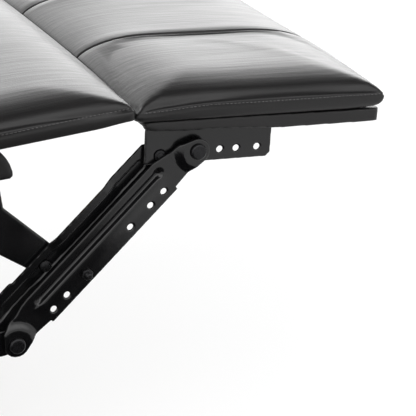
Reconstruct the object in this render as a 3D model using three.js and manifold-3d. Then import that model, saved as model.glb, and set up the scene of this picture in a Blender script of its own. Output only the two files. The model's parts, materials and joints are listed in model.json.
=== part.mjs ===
// Recliner seat with a leg rest that folds out on two mirrored steel link sets.
// Millimetres. +X points forward, to the sitter's feet, +Z is up, Y = 0 is the plane of symmetry.
// Shapes are laid out around the leg rest's own pivot, and the whole is then set on the floor.
import * as THREE from "three";
import { mergeVertices } from "three/addons/utils/BufferGeometryUtils.js";
import Module from "manifold-3d";

const wasm = await Module();
wasm.setup();

// ---------- driving dimensions ----------
const gap = 0.3; // between pieces that touch

const channelWidth = 178; // one sewn channel of the leg rest's cushion, seam to seam
const channelCount = 3; // the seat cushion is one plain panel
const legCushionLength = 265;
const seatCushionLength = 470;
const cushionEdge = 15; // side wall of a cushion, up to its top seam
const cushionCrown = 27; // rise of a channel's middle over that seam
const seamDip = 4; // how far a seam between two channels lies under the crown
const legCushionTilt = 3.95; // degrees, nose down
const seatCushionTilt = 3.8; // degrees, nose up
const creaseGap = 4; // between the two cushions
const creaseStep = 1.5; // seat cushion's lower edge, over the leg rest's
const legCushionBack = -69; // of the leg rest's cushion, from its pivot, along the cushion

const sheet = 3; // thickness of every stamped plate
const layerGap = 2.5; // between two plates that pass each other
const bracketInset = 21.5; // the bracket's outer face, in from the cushion's side
const joggle = 4; // outward step of the outer link's two ends
const joggleRun = 7; // length of the sloping part of that step

const outerLinkLength = 259.5;
const outerLinkAngle = 42.1; // degrees above level, leg rest out
const pivotSpread = new THREE.Vector2(-37, -2); // from an outer link's pivot to the inner link's
const middlePivotAlong = 104.4; // bent link's pivot, from the inner link's lower pivot
const middlePivotAside = 6;
const swing = new THREE.Vector2(72, -54); // from a fixed pivot to the moving end of its link
const crank = new THREE.Vector2(-10, 32); // bent link's upper arm, and the drive crank

const rivetRadius = 5;
const rivetHeadRadius = 8.2;
const rivetHeadHeight = 3.4;
const flatHeadHeight = 1.8; // heads that lie between two plates
const lobeRadius = 13; // plate round a pivot
const accessoryHole = 3.5; // radius of the spare holes in link and bracket
const shaftRadius = 6.5;
const shaftHead = 2.5; // how far the shaft's upset ends stand over it
const driveTubeRadius = 12.5;
const driveTubeWall = 2;
const driveTubeReach = 1.5; // past the side plates
const studRadius = 3;
const studReach = 9; // past the outer link's face
const nutRadius = 5.8;
const nutHeight = 5;

const bracketBack = 53; // angle bracket, behind and ahead of the pivot
const bracketFront = 83;
const bracketRise = 20.5;
const bracketDrop = 13.5;
const flangeWidth = 28;

const boardThickness = 15;
const legBoardInset = 7; // board edge, in from the cushion's side
const legBoardBack = 10; // and from the cushion's rear and front ends
const legBoardFront = 3;
const legBoardCorner = 7;
const boardTaper = 7; // rise of the board's underside, and of the bracket's flange, towards the rear
const seatBoardInset = 45;
const seatBoardThickness = 12;
const railHeight = 38; // wrapped wooden cross rails
const railDepth = 64;
const railSetback = 110; // front rail, back from the nose of the seat cushion
const rearRailReach = 86; // rear rail's front face, ahead of the seat cushion's rear end
const railPastPost = 9; // rear rail, past its posts
const seatBoardSetback = 82;
const seatBoardRearInset = 12;
const tubeSize = 30; // square frame tube
const tubeWall = 2;
const spacerLength = 10; // side rail to side plate
const driveToRail = 22; // drive tube's axis, ahead of the rear rail
const shaftToRail = 17; // side rail's underside, over the shaft's axis
const boltFromPost = 55; // bolts of a side plate, from the post's side
const floorDrop = 383; // from the leg rest's pivot down to the floor
const glideHeight = 8;
const glideRadius = 15;
const glideInset = 28;
const floorRailAhead = 85; // floor rail, ahead of the front post
const floorRailBehind = 40; // and behind the rear post

// ---------- worked-out places ----------
const rad = THREE.MathUtils.degToRad;
const cushionWidth = channelWidth * channelCount;
const linkDirection = new THREE.Vector2(Math.cos(rad(outerLinkAngle)), Math.sin(rad(outerLinkAngle)));
const linkNormal = new THREE.Vector2(-linkDirection.y, linkDirection.x);

// The seat frame is tilted about its nose, the front lower edge of the seat cushion, which lies
// behind the leg rest's cushion.
const seatTilt = rad(seatCushionTilt);
const legTilt = rad(legCushionTilt);
const legCushionBottom = bracketRise + gap + boardThickness + gap;
const hub = new THREE.Vector2(0, 0); // the leg rest's pivot
const crease = new THREE.Vector2(legCushionBack, legCushionBottom).rotateAround(hub, -legTilt);
const seatNose = new THREE.Vector2(crease.x - creaseGap, crease.y + creaseStep);
const rearRailSetback = seatCushionLength - rearRailReach;
const railLevel = -seatBoardThickness - railHeight - 2 * gap; // underside of the cross rails

// A point of the tilted seat, given from its nose, in the common frame.
function seatPoint(x, z) {
  return new THREE.Vector2(x, z).rotateAround(hub, seatTilt).add(seatNose);
}

// Pivots in the plane of the links, as (X, Z) from the leg rest's pivot.
const pivot = { legRest: hub.clone() };
pivot.lower = linkDirection.clone().multiplyScalar(-outerLinkLength);
pivot.innerTop = pivotSpread.clone();
pivot.innerLow = pivot.lower.clone().add(pivotSpread);
pivot.middle = alongLink(pivot.innerLow, middlePivotAlong, middlePivotAside);
pivot.bentFixed = pivot.middle.clone().sub(swing);
pivot.frontFixed = pivot.innerLow.clone().sub(swing);
pivot.arm = pivot.bentFixed.clone().add(crank);
pivot.drive = new THREE.Vector2(seatPoint(-rearRailSetback, railLevel).x + driveToRail, pivot.bentFixed.y);
pivot.driveArm = pivot.drive.clone().add(crank);

// Inner faces of the plates, as distances from the plane of symmetry.
const bracketFace = cushionWidth / 2 - bracketInset - sheet;
const innerLinkFace = bracketFace - layerGap - sheet;
const bentLinkFace = innerLinkFace - layerGap - sheet;
const sidePlateFace = bentLinkFace - layerGap - sheet;
const driveLinkFace = sidePlateFace - layerGap - sheet;
const driveCrankFace = driveLinkFace - layerGap - sheet;
const outerLinkFace = bracketFace + sheet + layerGap;
const railFace = sidePlateFace - spacerLength;

// Base frame.
const floorRailTop = -floorDrop + glideHeight + gap + tubeSize;
const frontPostFront = seatPoint(-railSetback - railDepth, railLevel).x + tubeSize;
const rearPostBack = seatPoint(-rearRailSetback - railDepth, railLevel).x + railPastPost;
const floorRailFront = frontPostFront + floorRailAhead;
const floorRailBack = rearPostBack - floorRailBehind;
const sideRailTop = pivot.frontFixed.y + shaftToRail + tubeSize;

function alongLink(origin, along, aside) {
  return origin.clone().addScaledVector(linkDirection, along).addScaledVector(linkNormal, aside);
}

// ---------- finishes ----------
const finish = {
  leather: { color: 0x2b2a2b, roughness: 0.42, metalness: 0 },
  paintedSteel: { color: 0x141415, roughness: 0.25, metalness: 0.1 },
  rivetSteel: { color: 0x1d1d1f, roughness: 0.35, metalness: 0.8 },
  frameSteel: { color: 0x1b1b1d, roughness: 0.5, metalness: 0.2 },
  plywood: { color: 0xb08d5f, roughness: 0.75, metalness: 0 },
  nylon: { color: 0x222222, roughness: 0.6, metalness: 0 },
};

// ---------- solids ----------
function toSolid(geometry) {
  const bare = geometry.clone();
  bare.deleteAttribute("normal");
  bare.deleteAttribute("uv");
  const merged = mergeVertices(bare, 1e-3);
  return new wasm.Manifold(
    new wasm.Mesh({
      numProp: 3,
      vertProperties: merged.attributes.position.array,
      triVerts: new Uint32Array(merged.index.array),
    }),
  );
}

function toGeometry(solid) {
  const mesh = solid.getMesh();
  const geometry = new THREE.BufferGeometry();
  geometry.setAttribute("position", new THREE.BufferAttribute(mesh.vertProperties, 3));
  geometry.setIndex(new THREE.BufferAttribute(mesh.triVerts, 1));
  return geometry;
}

// Several geometries joined into one solid.
function together(...geometries) {
  return toGeometry(geometries.map(toSolid).reduce((all, solid) => all.add(solid)));
}

function cutAway(geometry, ...cutters) {
  const whole = toSolid(geometry);
  return toGeometry(cutters.map(toSolid).reduce((rest, cutter) => rest.subtract(cutter), whole));
}

function common(a, b) {
  return toGeometry(toSolid(a).intersect(toSolid(b)));
}

// An outline in (X, Z) as a plate whose inner face is `face` out from the plane of symmetry,
// on the sitter's right, which is -Y.
function plate(outline, face, thickness = sheet) {
  const geometry = new THREE.ExtrudeGeometry(outline, {
    depth: thickness,
    bevelEnabled: false,
    curveSegments: 8,
  });
  return geometry.rotateX(Math.PI / 2).translate(0, -face, 0);
}

function onCircle(centre, radius, angle) {
  return new THREE.Vector2(centre.x + radius * Math.cos(angle), centre.y + radius * Math.sin(angle));
}

// The convex outline round a set of circles, each [centre, radius].
function outlineRound(...circles) {
  const steps = 20;
  const points = [];
  for (const [centre, radius] of circles)
    for (let i = 0; i < steps; i++) points.push(onCircle(centre, radius, (i * 2 * Math.PI) / steps));
  points.sort((a, b) => a.x - b.x || a.y - b.y);
  const turn = (a, b, c) => (b.x - a.x) * (c.y - a.y) - (b.y - a.y) * (c.x - a.x);
  const chain = (list) => {
    const hull = [];
    for (const p of list) {
      while (hull.length > 1 && turn(hull[hull.length - 2], hull[hull.length - 1], p) <= 1e-6) hull.pop();
      hull.push(p);
    }
    hull.pop();
    return hull;
  };
  return new THREE.Shape([...chain(points), ...chain(points.reverse())]);
}

function disc(centre, radius, face, thickness, sides = 16) {
  const geometry = new THREE.CylinderGeometry(radius, radius, thickness, sides);
  return geometry.translate(centre.x, -face - thickness / 2, centre.y);
}

// Round holes right through everything between two distances from the plane of symmetry.
function bores(centres, radius, from = driveCrankFace - sheet, to = cushionWidth / 2) {
  return centres.map((centre) => disc(centre, radius, from, to - from, 12));
}

// A pin turned about an axis parallel to Y, from [radius, distance out] pairs.
function turned(centre, profile, sides = 12) {
  const points = profile.map(([radius, out]) => new THREE.Vector2(radius, out));
  const geometry = new THREE.LatheGeometry(points, sides);
  return geometry.rotateX(Math.PI).translate(centre.x, 0, centre.y);
}

// A rivet through two plates, given by their inner faces. The outer plate may be pressed out by
// `step`; a bush on the shank then fills the wider space between the plates.
function rivet(centre, [innerPlate, outerPlate], innerHead, outerHead, headRadius, step = 0) {
  const bush = step ? rivetRadius + 4 : rivetRadius;
  const inner = innerPlate - gap;
  const outer = outerPlate + sheet + step + gap;
  return turned(centre, [
    [0, inner - innerHead],
    [headRadius, inner - innerHead],
    [headRadius, inner],
    [rivetRadius, inner],
    [rivetRadius, innerPlate + sheet + gap],
    [bush, innerPlate + sheet + gap],
    [bush, outerPlate + step - gap],
    [rivetRadius, outerPlate + step - gap],
    [rivetRadius, outer],
    [headRadius, outer],
    [headRadius, outer + outerHead * 0.6],
    [headRadius - outerHead * 0.4, outer + outerHead],
    [0, outer + outerHead],
  ]);
}

function smallRivet(centre, faces) {
  return rivet(centre, faces, flatHeadHeight, flatHeadHeight, rivetHeadRadius - 1.7);
}

// The outer link's own pivots, through its stepped ends.
function bigRivet(centre) {
  const faces = [bracketFace, outerLinkFace];
  return rivet(centre, faces, flatHeadHeight, rivetHeadHeight, rivetHeadRadius, joggle);
}

// A square tube along X, Y or Z between two corners of its box, open at both ends.
function squareTube(low, high, axis) {
  const size = new THREE.Vector3().subVectors(high, low);
  const middle = new THREE.Vector3().addVectors(low, high).multiplyScalar(0.5);
  const outside = new THREE.BoxGeometry(size.x, size.y, size.z);
  const inside = size.clone().subScalar(2 * tubeWall);
  inside[axis] = size[axis] + 2;
  const tube = cutAway(outside, new THREE.BoxGeometry(inside.x, inside.y, inside.z));
  return tube.translate(middle.x, middle.y, middle.z);
}

// ---------- cushions and boards ----------
// A closed form with one crowned channel beside the other. Its underside is flat at Z = 0, its
// rear end is at X = 0 and it runs forward; the seams between channels run along X.
function cushion(length, channels) {
  const across = channelCount * 4;
  const along = 8;
  const positions = [];
  const index = [];
  const edgeRise = (t) => 1 - Math.abs(2 * t - 1) ** 7;
  const height = (u, v) => {
    const inChannel = (v * channels) % 1;
    const seam = channels > 1 ? seamDip * Math.abs(2 * inChannel - 1) ** 4 : 0;
    return cushionEdge + (cushionCrown - seam) * edgeRise(u) ** 0.5 * edgeRise(v) ** 0.5;
  };
  for (const top of [0, 1])
    for (let j = 0; j <= across; j++)
      for (let i = 0; i <= along; i++) {
        const u = i / along;
        const v = j / across;
        positions.push(u * length, (v - 0.5) * cushionWidth, top ? height(u, v) : 0);
      }
  const at = (top, i, j) => top * (across + 1) * (along + 1) + j * (along + 1) + i;
  const quad = (a, b, c, d) => index.push(a, b, c, a, c, d);
  for (let j = 0; j < across; j++)
    for (let i = 0; i < along; i++) {
      quad(at(1, i, j), at(1, i + 1, j), at(1, i + 1, j + 1), at(1, i, j + 1));
      quad(at(0, i, j), at(0, i, j + 1), at(0, i + 1, j + 1), at(0, i + 1, j));
    }
  for (let i = 0; i < along; i++) {
    quad(at(0, i, 0), at(0, i + 1, 0), at(1, i + 1, 0), at(1, i, 0));
    quad(at(0, i + 1, across), at(0, i, across), at(1, i, across), at(1, i + 1, across));
  }
  for (let j = 0; j < across; j++) {
    quad(at(0, along, j), at(0, along, j + 1), at(1, along, j + 1), at(1, along, j));
    quad(at(0, 0, j + 1), at(0, 0, j), at(1, 0, j), at(1, 0, j + 1));
  }
  const geometry = new THREE.BufferGeometry();
  geometry.setAttribute("position", new THREE.Float32BufferAttribute(positions, 3));
  geometry.setIndex(index);
  return geometry;
}

function board(length, width, thickness, radius) {
  const shape = new THREE.Shape();
  const half = width / 2;
  shape.moveTo(radius, -half);
  shape.lineTo(length - radius, -half);
  shape.quadraticCurveTo(length, -half, length, -half + radius);
  shape.lineTo(length, half - radius);
  shape.quadraticCurveTo(length, half, length - radius, half);
  shape.lineTo(radius, half);
  shape.quadraticCurveTo(0, half, 0, half - radius);
  shape.lineTo(0, -half + radius);
  shape.quadraticCurveTo(0, -half, radius, -half);
  return new THREE.ExtrudeGeometry(shape, { depth: thickness, bevelEnabled: false, curveSegments: 4 });
}

// A wooden cross rail between the side plates, its nose at X = 0 rounded when `round` is set.
function crossRail(round) {
  const shape = new THREE.Shape();
  const lowFront = round ? 4 : 0;
  shape.moveTo(-railDepth, 0);
  shape.lineTo(-lowFront, 0);
  if (round) shape.quadraticCurveTo(0, 0, 0, lowFront);
  if (round) shape.quadraticCurveTo(-1, railHeight * 0.62, -railHeight * 0.55, railHeight);
  else shape.lineTo(0, railHeight);
  shape.lineTo(-railDepth, railHeight);
  const geometry = new THREE.ExtrudeGeometry(shape, {
    depth: 2 * railFace - 2 * gap,
    bevelEnabled: false,
    curveSegments: 6,
  });
  return geometry.rotateX(Math.PI / 2).translate(0, railFace - gap, 0);
}

// ---------- links of one side ----------
// The outer link is pressed: its two ends stand out from its middle by `joggle`, it has a groove
// with a wide round end, a row of spare holes, and a small step in its lower edge at each end.
const linkEnd = 22; // of the flat middle, from either pivot
const linkBody = { back: 40, front: outerLinkLength - 40, low: -14.2, high: 25 };
const linkNotch = 3; // step in the lower edge
const groove = { back: 46, front: outerLinkLength - 42.5, aside: 14, radius: 3.4, eye: 5.2, depth: 1.2 };
const spareHoles = [50, 69, outerLinkLength - 99.5, outerLinkLength - 70.5, outerLinkLength - 51.5];
const spareHoleAside = -4.6;
const studAlong = 97.3;

function outerLink() {
  const at = (along, aside) => alongLink(pivot.lower, along, aside);
  const body = linkBody;
  const shape = new THREE.Shape([
    at(body.back, body.low),
    at(body.front, body.low),
    at(body.front, body.low + linkNotch),
    at(outerLinkLength - linkEnd, body.low + linkNotch + 1),
    ...arc(at(outerLinkLength, 0), lobeRadius, -90, 50),
    at(outerLinkLength - 8, 18.5),
    at(outerLinkLength - 16, 18.5),
    at(body.front + 1, body.high),
    at(body.back, body.high),
    at(body.back - 9, body.high - 1),
    at(20, 21),
    at(9, 20.5),
    at(-1, 17.5),
    ...arc(at(0, 0), lobeRadius, 165, 275),
    at(linkEnd - 2, body.low + linkNotch + 2),
    at(body.back, body.low + linkNotch),
  ]);
  const deep = plate(shape, outerLinkFace - sheet, 3 * sheet + joggle);
  const flat = common(deep, pressedProfile());
  const slot = outlineRound(
    [at(groove.back, groove.aside), groove.radius],
    [at(groove.front, groove.aside), groove.radius],
  );
  const surface = outerLinkFace + sheet;
  return cutAway(
    flat,
    plate(slot, surface - groove.depth, 2 * groove.depth),
    disc(at(groove.front, groove.aside), groove.eye, surface - groove.depth - gap, 2 * groove.depth),
    ...bores(spareHoles.map((along) => at(along, spareHoleAside)), accessoryHole),
    ...bores([at(studAlong, spareHoleAside)], studRadius + gap),
    ...bores([pivot.lower, pivot.legRest], rivetRadius + gap),
  );
}

// Points of an arc about a centre, its angles measured from the outer link's direction.
function arc(centre, radius, from, to) {
  const steps = 6;
  const points = [];
  for (let i = 0; i <= steps; i++)
    points.push(onCircle(centre, radius, rad(outerLinkAngle + from + ((to - from) * i) / steps)));
  return points;
}

// Side view of the pressed sheet, extruded across the link: out at both ends, in between.
function pressedProfile() {
  const inside = outerLinkFace;
  const past = 40;
  const front = outerLinkLength - linkEnd;
  const edge = [
    [-past, joggle],
    [linkEnd - joggleRun, joggle],
    [linkEnd, 0],
    [front, 0],
    [front + joggleRun, joggle],
    [outerLinkLength + past, joggle],
  ];
  const lower = edge.map(([along, out]) => new THREE.Vector2(along, -(inside + out)));
  const upper = edge.map(([along, out]) => new THREE.Vector2(along, -(inside + sheet + out))).reverse();
  const geometry = new THREE.ExtrudeGeometry(new THREE.Shape([...upper, ...lower]), {
    depth: 3 * past,
    bevelEnabled: false,
  });
  return geometry
    .translate(0, 0, -1.5 * past)
    .rotateY(-rad(outerLinkAngle))
    .translate(pivot.lower.x, 0, pivot.lower.y);
}

// The inner link is a wide strip with rounded corners, an ear at its lower end and a long groove.
const innerBody = { low: -8.5, high: 19.2, corner: 5, reach: 28, topReach: 6 };
const innerEar = { from: 25, to: 66, rise: 2 };
const innerGroove = { from: 34, to: outerLinkLength - 20, aside: 5.7, radius: 6 };

function innerLink() {
  const at = (along, aside) => alongLink(pivot.innerLow, along, aside);
  const { low, high, corner, reach, topReach } = innerBody;
  const body = outlineRound(
    [pivot.innerLow, lobeRadius - 1],
    [pivot.innerTop, lobeRadius - 1],
    [at(reach, low + corner), corner],
    [at(outerLinkLength - reach, low + corner), corner],
    [at(reach, high - corner), corner],
    [at(outerLinkLength - topReach, high - corner), corner],
  );
  const earAside = high + innerEar.rise - corner;
  const ear = outlineRound([at(innerEar.from, earAside), corner], [at(innerEar.to, earAside), corner]);
  const slot = outlineRound(
    [at(innerGroove.from, innerGroove.aside), innerGroove.radius],
    [at(innerGroove.to, innerGroove.aside), innerGroove.radius],
  );
  return cutAway(
    together(plate(body, innerLinkFace), plate(ear, innerLinkFace)),
    plate(slot, innerLinkFace + sheet - groove.depth, 2 * groove.depth),
    ...bores([pivot.innerLow, pivot.innerTop, pivot.middle], rivetRadius + gap),
  );
}

// Round corners of the bent link, each [X, Z, radius]: the toe from its middle pivot, the others
// from its fixed pivot.
const bentToe = [5.7, 7.3, 10.8];
const bentElbow = [25.7, -0.7, 13.7];
const bentHead = [
  [21.7, 38.3, 8],
  [23.7, 8.3, 10],
];

function bentLink() {
  const near = (centre, [x, z, radius]) => [new THREE.Vector2(centre.x + x, centre.y + z), radius];
  const arm = outlineRound(
    [pivot.middle, lobeRadius - 1.4],
    near(pivot.middle, bentToe),
    near(pivot.bentFixed, bentElbow),
    [pivot.bentFixed, lobeRadius + 2],
  );
  const head = outlineRound(
    [pivot.bentFixed, lobeRadius + 4],
    [pivot.arm, lobeRadius - 2],
    ...bentHead.map((corner) => near(pivot.bentFixed, corner)),
  );
  return cutAway(
    together(plate(arm, bentLinkFace), plate(head, bentLinkFace)),
    ...bores([pivot.bentFixed, pivot.arm, pivot.middle], rivetRadius + gap),
  );
}

function frontLink() {
  const crook = outlineRound([pivot.frontFixed, lobeRadius + 1], [pivot.innerLow, lobeRadius + 1]);
  const toe = outlineRound([pivot.innerLow, lobeRadius + 1], [pivot.lower, lobeRadius]);
  return cutAway(
    together(plate(crook, bracketFace), plate(toe, bracketFace)),
    ...bores([pivot.frontFixed], shaftRadius + gap),
    ...bores([pivot.innerLow, pivot.lower], rivetRadius + gap),
  );
}

function driveLink() {
  const shape = outlineRound([pivot.arm, lobeRadius - 3], [pivot.driveArm, lobeRadius - 3]);
  return cutAway(plate(shape, driveLinkFace), ...bores([pivot.arm, pivot.driveArm], rivetRadius + gap));
}

function driveCrank() {
  const shape = outlineRound([pivot.drive, driveTubeRadius + 6], [pivot.driveArm, lobeRadius - 3]);
  return cutAway(
    plate(shape, driveCrankFace),
    ...bores([pivot.driveArm], rivetRadius + gap),
    disc(pivot.drive, driveTubeRadius + gap, driveCrankFace - sheet, 3 * sheet, 24),
  );
}

const plateBolts = [
  frontPostFront - tubeSize - boltFromPost,
  rearPostBack + tubeSize + boltFromPost,
].map((x) => new THREE.Vector2(x, sideRailTop - tubeSize / 2));
const boltRadius = 4;

function sidePlate() {
  const shape = outlineRound(
    [pivot.bentFixed, lobeRadius + 2],
    [pivot.frontFixed, lobeRadius + 2],
    [pivot.drive, driveTubeRadius + 8],
    ...plateBolts.map((centre) => [centre, lobeRadius]),
  );
  return cutAway(
    plate(shape, sidePlateFace),
    ...bores([pivot.bentFixed], rivetRadius + gap),
    ...bores([pivot.frontFixed], shaftRadius + gap),
    ...bores(plateBolts, boltRadius + gap),
    disc(pivot.drive, driveTubeRadius + gap, sidePlateFace - sheet, 3 * sheet, 24),
  );
}

// The bracket's web carries the pivots, its flange lies under the leg rest's board.
// It is laid out level and tilted with the cushion.
const bracketHoles = [27.5, 45.3, 68];
const bracketHoleDrop = 2.5;
const bracketBoltsAt = [-38, 8, 64];
const flangeBoltRadius = 3;

function angleBracket() {
  const chamfer = 4.5;
  const web = new THREE.Shape([
    new THREE.Vector2(-bracketBack, -bracketDrop),
    new THREE.Vector2(bracketFront - chamfer, -bracketDrop),
    new THREE.Vector2(bracketFront, -bracketDrop + chamfer),
    new THREE.Vector2(bracketFront, bracketRise),
    new THREE.Vector2(-bracketBack, bracketRise + boardTaper),
  ]);
  const section = new THREE.Shape([
    new THREE.Vector2(-bracketBack, bracketRise + boardTaper - sheet),
    new THREE.Vector2(bracketFront, bracketRise - sheet),
    new THREE.Vector2(bracketFront, bracketRise),
    new THREE.Vector2(-bracketBack, bracketRise + boardTaper),
  ]);
  const flange = plate(section, bracketFace + sheet - flangeWidth, flangeWidth);
  const innerTop = pivot.innerTop.clone().rotateAround(pivot.legRest, rad(legCushionTilt));
  return cutAway(
    together(plate(web, bracketFace), flange),
    ...bores([pivot.legRest, innerTop], rivetRadius + gap),
    ...bores(bracketHoles.map((x) => new THREE.Vector2(x, -bracketHoleDrop)), accessoryHole),
    ...bracketBoltHoles(),
  );
}

function bracketBoltHoles() {
  return bracketBoltsAt.map((x) => upright(x, flangeBoltRadius + gap, bracketRise - 2 * sheet, 40));
}

// A cylinder standing on the middle line of the bracket's flange.
function upright(x, radius, bottom, height, sides = 12) {
  const geometry = new THREE.CylinderGeometry(radius, radius, height, sides).rotateX(Math.PI / 2);
  return geometry.translate(x, -(bracketFace + sheet - flangeWidth / 2), bottom + height / 2);
}

// A threaded stud through the outer link, with its flat head inside and its nut outside.
function linkStud() {
  const centre = alongLink(pivot.lower, studAlong, spareHoleAside);
  const surface = outerLinkFace + sheet;
  const stud = turned(centre, [
    [0, outerLinkFace - gap - flatHeadHeight],
    [studRadius + 3, outerLinkFace - gap - flatHeadHeight],
    [studRadius + 3, outerLinkFace - gap],
    [studRadius, outerLinkFace - gap],
    [studRadius, surface + studReach - 1],
    [studRadius - 1, surface + studReach],
    [0, surface + studReach],
  ]);
  return together(stud, disc(centre, nutRadius, surface + gap, nutHeight, 6));
}

// ---------- base frame of one side ----------
// A bolt with a shoulder that holds the side plate off the side rail.
function shoulderBolt(centre) {
  return together(
    disc(centre, boltRadius, railFace - 8, spacerLength + 8 + sheet + 1),
    disc(centre, 9, railFace + gap, spacerLength - 2 * gap),
    disc(centre, 6.5, sidePlateFace + sheet + gap, 4, 6),
  );
}

function sideTube(x0, x1, z0, z1, axis) {
  const low = new THREE.Vector3(x0, -railFace, z0);
  const high = new THREE.Vector3(x1, -railFace + tubeSize, z1);
  return squareTube(low, high, axis);
}

function sideRail() {
  const tube = sideTube(
    rearPostBack + tubeSize + gap,
    frontPostFront - tubeSize - gap,
    sideRailTop - tubeSize,
    sideRailTop,
    "x",
  );
  return cutAway(tube, ...bores(plateBolts, boltRadius + gap, railFace - 10, railFace + 2));
}

// A post whose top is cut to the slope of the cross rail that rests on it.
function post(front) {
  const back = front - tubeSize;
  const tall = sideTube(back, front, floorRailTop + gap, 0, "z");
  const top = (x) => seatPoint(0, railLevel - gap).y + (x - seatPoint(0, railLevel).x) * Math.tan(seatTilt);
  const above = new THREE.Shape([
    new THREE.Vector2(back - 1, top(back - 1)),
    new THREE.Vector2(front + 1, top(front + 1)),
    new THREE.Vector2(front + 1, 50),
    new THREE.Vector2(back - 1, 50),
  ]);
  return cutAway(tall, plate(above, railFace - tubeSize - 5, tubeSize + 10));
}

function floorRail() {
  return sideTube(floorRailBack, floorRailFront, floorRailTop - tubeSize, floorRailTop, "x");
}

function glide(x) {
  return new THREE.CylinderGeometry(glideRadius, glideRadius - 2, glideHeight, 20)
    .rotateX(Math.PI / 2)
    .translate(x, -railFace + tubeSize / 2, -floorDrop + glideHeight / 2);
}

// ---------- the assembly ----------
const object = new THREE.Group();

function add(parent, name, geometry, look) {
  const mesh = new THREE.Mesh(geometry, new THREE.MeshStandardMaterial(look));
  mesh.name = name;
  parent.add(mesh);
}

const seat = new THREE.Group();
seat.position.set(seatNose.x, 0, seatNose.y);
seat.rotation.y = -seatTilt;
object.add(seat);

const leg = new THREE.Group();
leg.rotation.y = legTilt;
object.add(leg);

add(
  seat,
  "seat_cushion",
  cushion(seatCushionLength, 1).translate(-seatCushionLength, 0, 0),
  finish.leather,
);
const seatBoardLength = seatCushionLength - seatBoardSetback - seatBoardRearInset;
add(
  seat,
  "seat_board",
  board(seatBoardLength, cushionWidth - 2 * seatBoardInset, seatBoardThickness, 20).translate(
    -seatBoardSetback - seatBoardLength,
    0,
    -seatBoardThickness - gap,
  ),
  finish.plywood,
);
add(seat, "front_rail", crossRail(true).translate(-railSetback, 0, railLevel), finish.leather);
add(seat, "rear_rail", crossRail(false).translate(-rearRailSetback, 0, railLevel), finish.plywood);

add(
  leg,
  "leg_cushion",
  cushion(legCushionLength, channelCount).translate(legCushionBack, 0, legCushionBottom),
  finish.leather,
);
const legBoardLength = legCushionLength - legBoardBack - legBoardFront;
const legBoardRear = legCushionBack + legBoardBack;
const legBoard = board(legBoardLength, cushionWidth - 2 * legBoardInset, boardThickness, legBoardCorner);
legBoard.translate(legBoardRear, 0, bracketRise + gap);
const taper = boardTaper / (bracketFront + bracketBack);
const underBoard = new THREE.Shape([
  new THREE.Vector2(bracketFront, bracketRise + gap),
  new THREE.Vector2(legBoardRear - 5, bracketRise + gap + taper * (bracketFront - legBoardRear + 5)),
  new THREE.Vector2(legBoardRear - 5, bracketRise - 5),
  new THREE.Vector2(bracketFront, bracketRise - 5),
]);
const wedge = plate(underBoard, -cushionWidth / 2, cushionWidth);
const boltHolesBothSides = bracketBoltHoles().flatMap((hole) => [hole, hole.clone().scale(1, -1, 1)]);
for (const hole of boltHolesBothSides.filter((_, i) => i % 2)) flip(hole);
add(leg, "leg_board", cutAway(legBoard, wedge, ...boltHolesBothSides), finish.leather);

// Turns a mirrored geometry's faces out again.
function flip(geometry) {
  const order = geometry.index.array;
  for (let i = 0; i < order.length; i += 3) [order[i], order[i + 1]] = [order[i + 1], order[i]];
}

for (const [side, mirror] of [
  ["right", 1],
  ["left", -1],
]) {
  const half = new THREE.Group();
  half.scale.y = mirror;
  object.add(half);
  const halfLeg = new THREE.Group();
  halfLeg.rotation.y = legTilt;
  half.add(halfLeg);
  const put = (name, geometry, look) => add(half, `${name}_${side}`, geometry, look);

  put("side_plate", sidePlate(), finish.paintedSteel);
  put("front_plate_bolt", shoulderBolt(plateBolts[0]), finish.rivetSteel);
  put("rear_plate_bolt", shoulderBolt(plateBolts[1]), finish.rivetSteel);
  put("side_rail", sideRail(), finish.frameSteel);
  put("front_post", post(frontPostFront), finish.frameSteel);
  put("rear_post", post(rearPostBack + tubeSize), finish.frameSteel);
  put("floor_rail", floorRail(), finish.frameSteel);
  put("front_glide", glide(floorRailFront - glideInset), finish.nylon);
  put("rear_glide", glide(floorRailBack + glideInset), finish.nylon);

  put("outer_link", outerLink(), finish.paintedSteel);
  put("inner_link", innerLink(), finish.paintedSteel);
  put("bent_link", bentLink(), finish.paintedSteel);
  put("front_link", frontLink(), finish.paintedSteel);
  put("drive_link", driveLink(), finish.paintedSteel);
  put("drive_crank", driveCrank(), finish.paintedSteel);
  put("link_stud", linkStud(), finish.rivetSteel);

  const rivets = {
    bent_link_rivet: smallRivet(pivot.bentFixed, [sidePlateFace, bentLinkFace]),
    inner_link_low_rivet: smallRivet(pivot.innerLow, [innerLinkFace, bracketFace]),
    inner_link_top_rivet: smallRivet(pivot.innerTop, [innerLinkFace, bracketFace]),
    middle_rivet: smallRivet(pivot.middle, [bentLinkFace, innerLinkFace]),
    drive_crank_rivet: smallRivet(pivot.driveArm, [driveCrankFace, driveLinkFace]),
    drive_link_rivet: smallRivet(pivot.arm, [driveLinkFace, bentLinkFace]),
    lower_rivet: bigRivet(pivot.lower),
    leg_rest_rivet: bigRivet(pivot.legRest),
  };
  for (const [name, geometry] of Object.entries(rivets)) put(name, geometry, finish.rivetSteel);
  add(halfLeg, `angle_bracket_${side}`, angleBracket(), finish.paintedSteel);
}

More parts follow.
